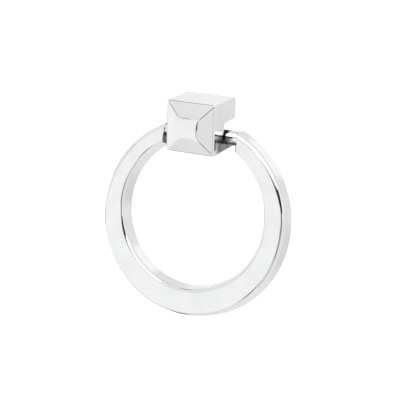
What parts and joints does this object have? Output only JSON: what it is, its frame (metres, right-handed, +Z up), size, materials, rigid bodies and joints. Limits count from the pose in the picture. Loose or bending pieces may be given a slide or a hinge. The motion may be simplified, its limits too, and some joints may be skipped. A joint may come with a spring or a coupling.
{
  "type": "ring pull handle",
  "caption": "Drawer pull with a square pyramid-fronted post and a flat ring that swings on a bar through the post's slot, fixed by a screw from behind.",
  "frame": {"origin": "centre of the screw hole's mouth on the post's flat back face, which lies on the drawer front", "axes": "+Y into the drawer along the screw, +Z up, +X to the right seen from the front"},
  "size_m": [0.0634, 0.0199, 0.0695],
  "materials": {
    "post_chrome": "polished chrome plate",
    "ring_chrome": "polished chrome plate"
  },
  "bodies": {
    "post": {"post": "post_chrome"},
    "ring": {"ring": "ring_chrome"}
  },
  "joints": [
    {"name": "ring_swing", "type": "hinge", "parent": "post", "child": "ring", "pos_m": [0, -0.0062, -0.0082], "axis": [-1, 0, 0], "range_deg": [-14.2, 171.6]}
  ]
}
